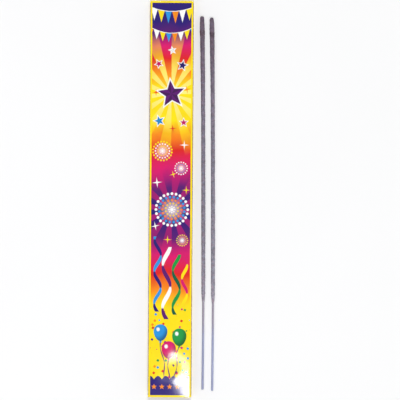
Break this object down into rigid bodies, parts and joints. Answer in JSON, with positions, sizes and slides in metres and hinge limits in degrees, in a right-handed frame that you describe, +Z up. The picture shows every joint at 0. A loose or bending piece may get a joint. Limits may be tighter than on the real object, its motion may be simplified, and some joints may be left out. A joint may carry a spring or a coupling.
{
  "type": "sparkler set",
  "caption": "Long wire sparklers with a dipped grey coat, some in a flat glossy printed card carton with tuck-in ends and some lying beside it.",
  "frame": {"origin": "the middle of the carton's back face, on the surface that it lies on", "axes": "+Z up, out of the carton's printed front; +Y along the carton, towards the coated heads; +X across it, towards the loose sparklers"},
  "size_m": [0.0876, 0.528, 0.016],
  "materials": {
    "printed_card": "glossy print",
    "seam_glue": "dried film",
    "wire": "drawn and galvanised",
    "coat": "rough, grainy"
  },
  "bodies": {
    "carton": {"front_panel": "printed_card", "back_panel": "printed_card", "left_side_panel": "printed_card", "right_side_panel": "printed_card", "glue_flap": "printed_card", "seam_glue_line": "seam_glue"},
    "top_lid": {"top_lid": "printed_card"},
    "top_tongue": {"top_tongue": "printed_card"},
    "top_dust_flap_left": {"top_dust_flap_left": "printed_card"},
    "top_dust_flap_right": {"top_dust_flap_right": "printed_card"},
    "bottom_lid": {"bottom_lid": "printed_card"},
    "bottom_tongue": {"bottom_tongue": "printed_card"},
    "bottom_dust_flap_left": {"bottom_dust_flap_left": "printed_card"},
    "bottom_dust_flap_right": {"bottom_dust_flap_right": "printed_card"},
    "boxed_sparkler_1": {"boxed_sparkler_1_wire": "wire", "boxed_sparkler_1_coat": "coat"},
    "boxed_sparkler_2": {"boxed_sparkler_2_wire": "wire", "boxed_sparkler_2_coat": "coat"},
    "boxed_sparkler_3": {"boxed_sparkler_3_wire": "wire", "boxed_sparkler_3_coat": "coat"},
    "boxed_sparkler_4": {"boxed_sparkler_4_wire": "wire", "boxed_sparkler_4_coat": "coat"},
    "boxed_sparkler_5": {"boxed_sparkler_5_wire": "wire", "boxed_sparkler_5_coat": "coat"},
    "boxed_sparkler_6": {"boxed_sparkler_6_wire": "wire", "boxed_sparkler_6_coat": "coat"},
    "boxed_sparkler_7": {"boxed_sparkler_7_wire": "wire", "boxed_sparkler_7_coat": "coat"},
    "boxed_sparkler_8": {"boxed_sparkler_8_wire": "wire", "boxed_sparkler_8_coat": "coat"},
    "loose_sparkler_1": {"loose_sparkler_1_wire": "wire", "loose_sparkler_1_coat": "coat"},
    "loose_sparkler_2": {"loose_sparkler_2_wire": "wire", "loose_sparkler_2_coat": "coat"}
  },
  "joints": [
    {"name": "top_lid_hinge", "type": "hinge", "parent": "carton", "child": "top_lid", "pos_m": [0, 0.26377, 0.00022], "axis": [-1, 0, 0], "range_deg": [0, 90]},
    {"name": "top_tongue_crease", "type": "hinge", "parent": "top_lid", "child": "top_tongue", "pos_m": [0, 0.26377, 0.01512], "axis": [1, 0, 0], "range_deg": [0, 45]},
    {"name": "top_dust_flap_left_crease", "type": "hinge", "parent": "carton", "child": "top_dust_flap_left", "pos_m": [-0.02877, 0.26317, 0.008], "axis": [0, 0, 1], "range_deg": [-50, 0]},
    {"name": "top_dust_flap_right_crease", "type": "hinge", "parent": "carton", "child": "top_dust_flap_right", "pos_m": [0.02877, 0.26317, 0.008], "axis": [0, 0, -1], "range_deg": [-50, 0]},
    {"name": "bottom_lid_hinge", "type": "hinge", "parent": "carton", "child": "bottom_lid", "pos_m": [0, -0.26377, 0.00022], "axis": [1, 0, 0], "range_deg": [0, 90]},
    {"name": "bottom_tongue_crease", "type": "hinge", "parent": "bottom_lid", "child": "bottom_tongue", "pos_m": [0, -0.26377, 0.01512], "axis": [-1, 0, 0], "range_deg": [0, 45]},
    {"name": "bottom_dust_flap_left_crease", "type": "hinge", "parent": "carton", "child": "bottom_dust_flap_left", "pos_m": [-0.02877, -0.26317, 0.008], "axis": [0, 0, 1], "range_deg": [0, 50]},
    {"name": "bottom_dust_flap_right_crease", "type": "hinge", "parent": "carton", "child": "bottom_dust_flap_right", "pos_m": [0.02877, -0.26317, 0.008], "axis": [0, 0, -1], "range_deg": [0, 50]},
    {"name": "boxed_sparkler_1_slide", "type": "slide", "parent": "carton", "child": "boxed_sparkler_1", "axis": [0, 1, 0], "range_m": [-0.0125, 0.0125]},
    {"name": "boxed_sparkler_2_slide", "type": "slide", "parent": "carton", "child": "boxed_sparkler_2", "axis": [0, 1, 0], "range_m": [-0.0125, 0.0125]},
    {"name": "boxed_sparkler_3_slide", "type": "slide", "parent": "carton", "child": "boxed_sparkler_3", "axis": [0, 1, 0], "range_m": [-0.0125, 0.0125]},
    {"name": "boxed_sparkler_4_slide", "type": "slide", "parent": "carton", "child": "boxed_sparkler_4", "axis": [0, 1, 0], "range_m": [-0.0125, 0.0125]},
    {"name": "boxed_sparkler_5_slide", "type": "slide", "parent": "carton", "child": "boxed_sparkler_5", "axis": [0, 1, 0], "range_m": [-0.0125, 0.0125]},
    {"name": "boxed_sparkler_6_slide", "type": "slide", "parent": "carton", "child": "boxed_sparkler_6", "axis": [0, 1, 0], "range_m": [-0.0125, 0.0125]},
    {"name": "boxed_sparkler_7_slide", "type": "slide", "parent": "carton", "child": "boxed_sparkler_7", "axis": [0, 1, 0], "range_m": [-0.0125, 0.0125]},
    {"name": "boxed_sparkler_8_slide", "type": "slide", "parent": "carton", "child": "boxed_sparkler_8", "axis": [0, 1, 0], "range_m": [-0.0125, 0.0125]},
    {"name": "loose_sparkler_1_lift", "type": "slide", "parent": "carton", "child": "loose_sparkler_1", "axis": [0, 0, 1], "range_m": [0, 0.12]},
    {"name": "loose_sparkler_2_lift", "type": "slide", "parent": "carton", "child": "loose_sparkler_2", "axis": [0, 0, 1], "range_m": [0, 0.12]}
  ]
}
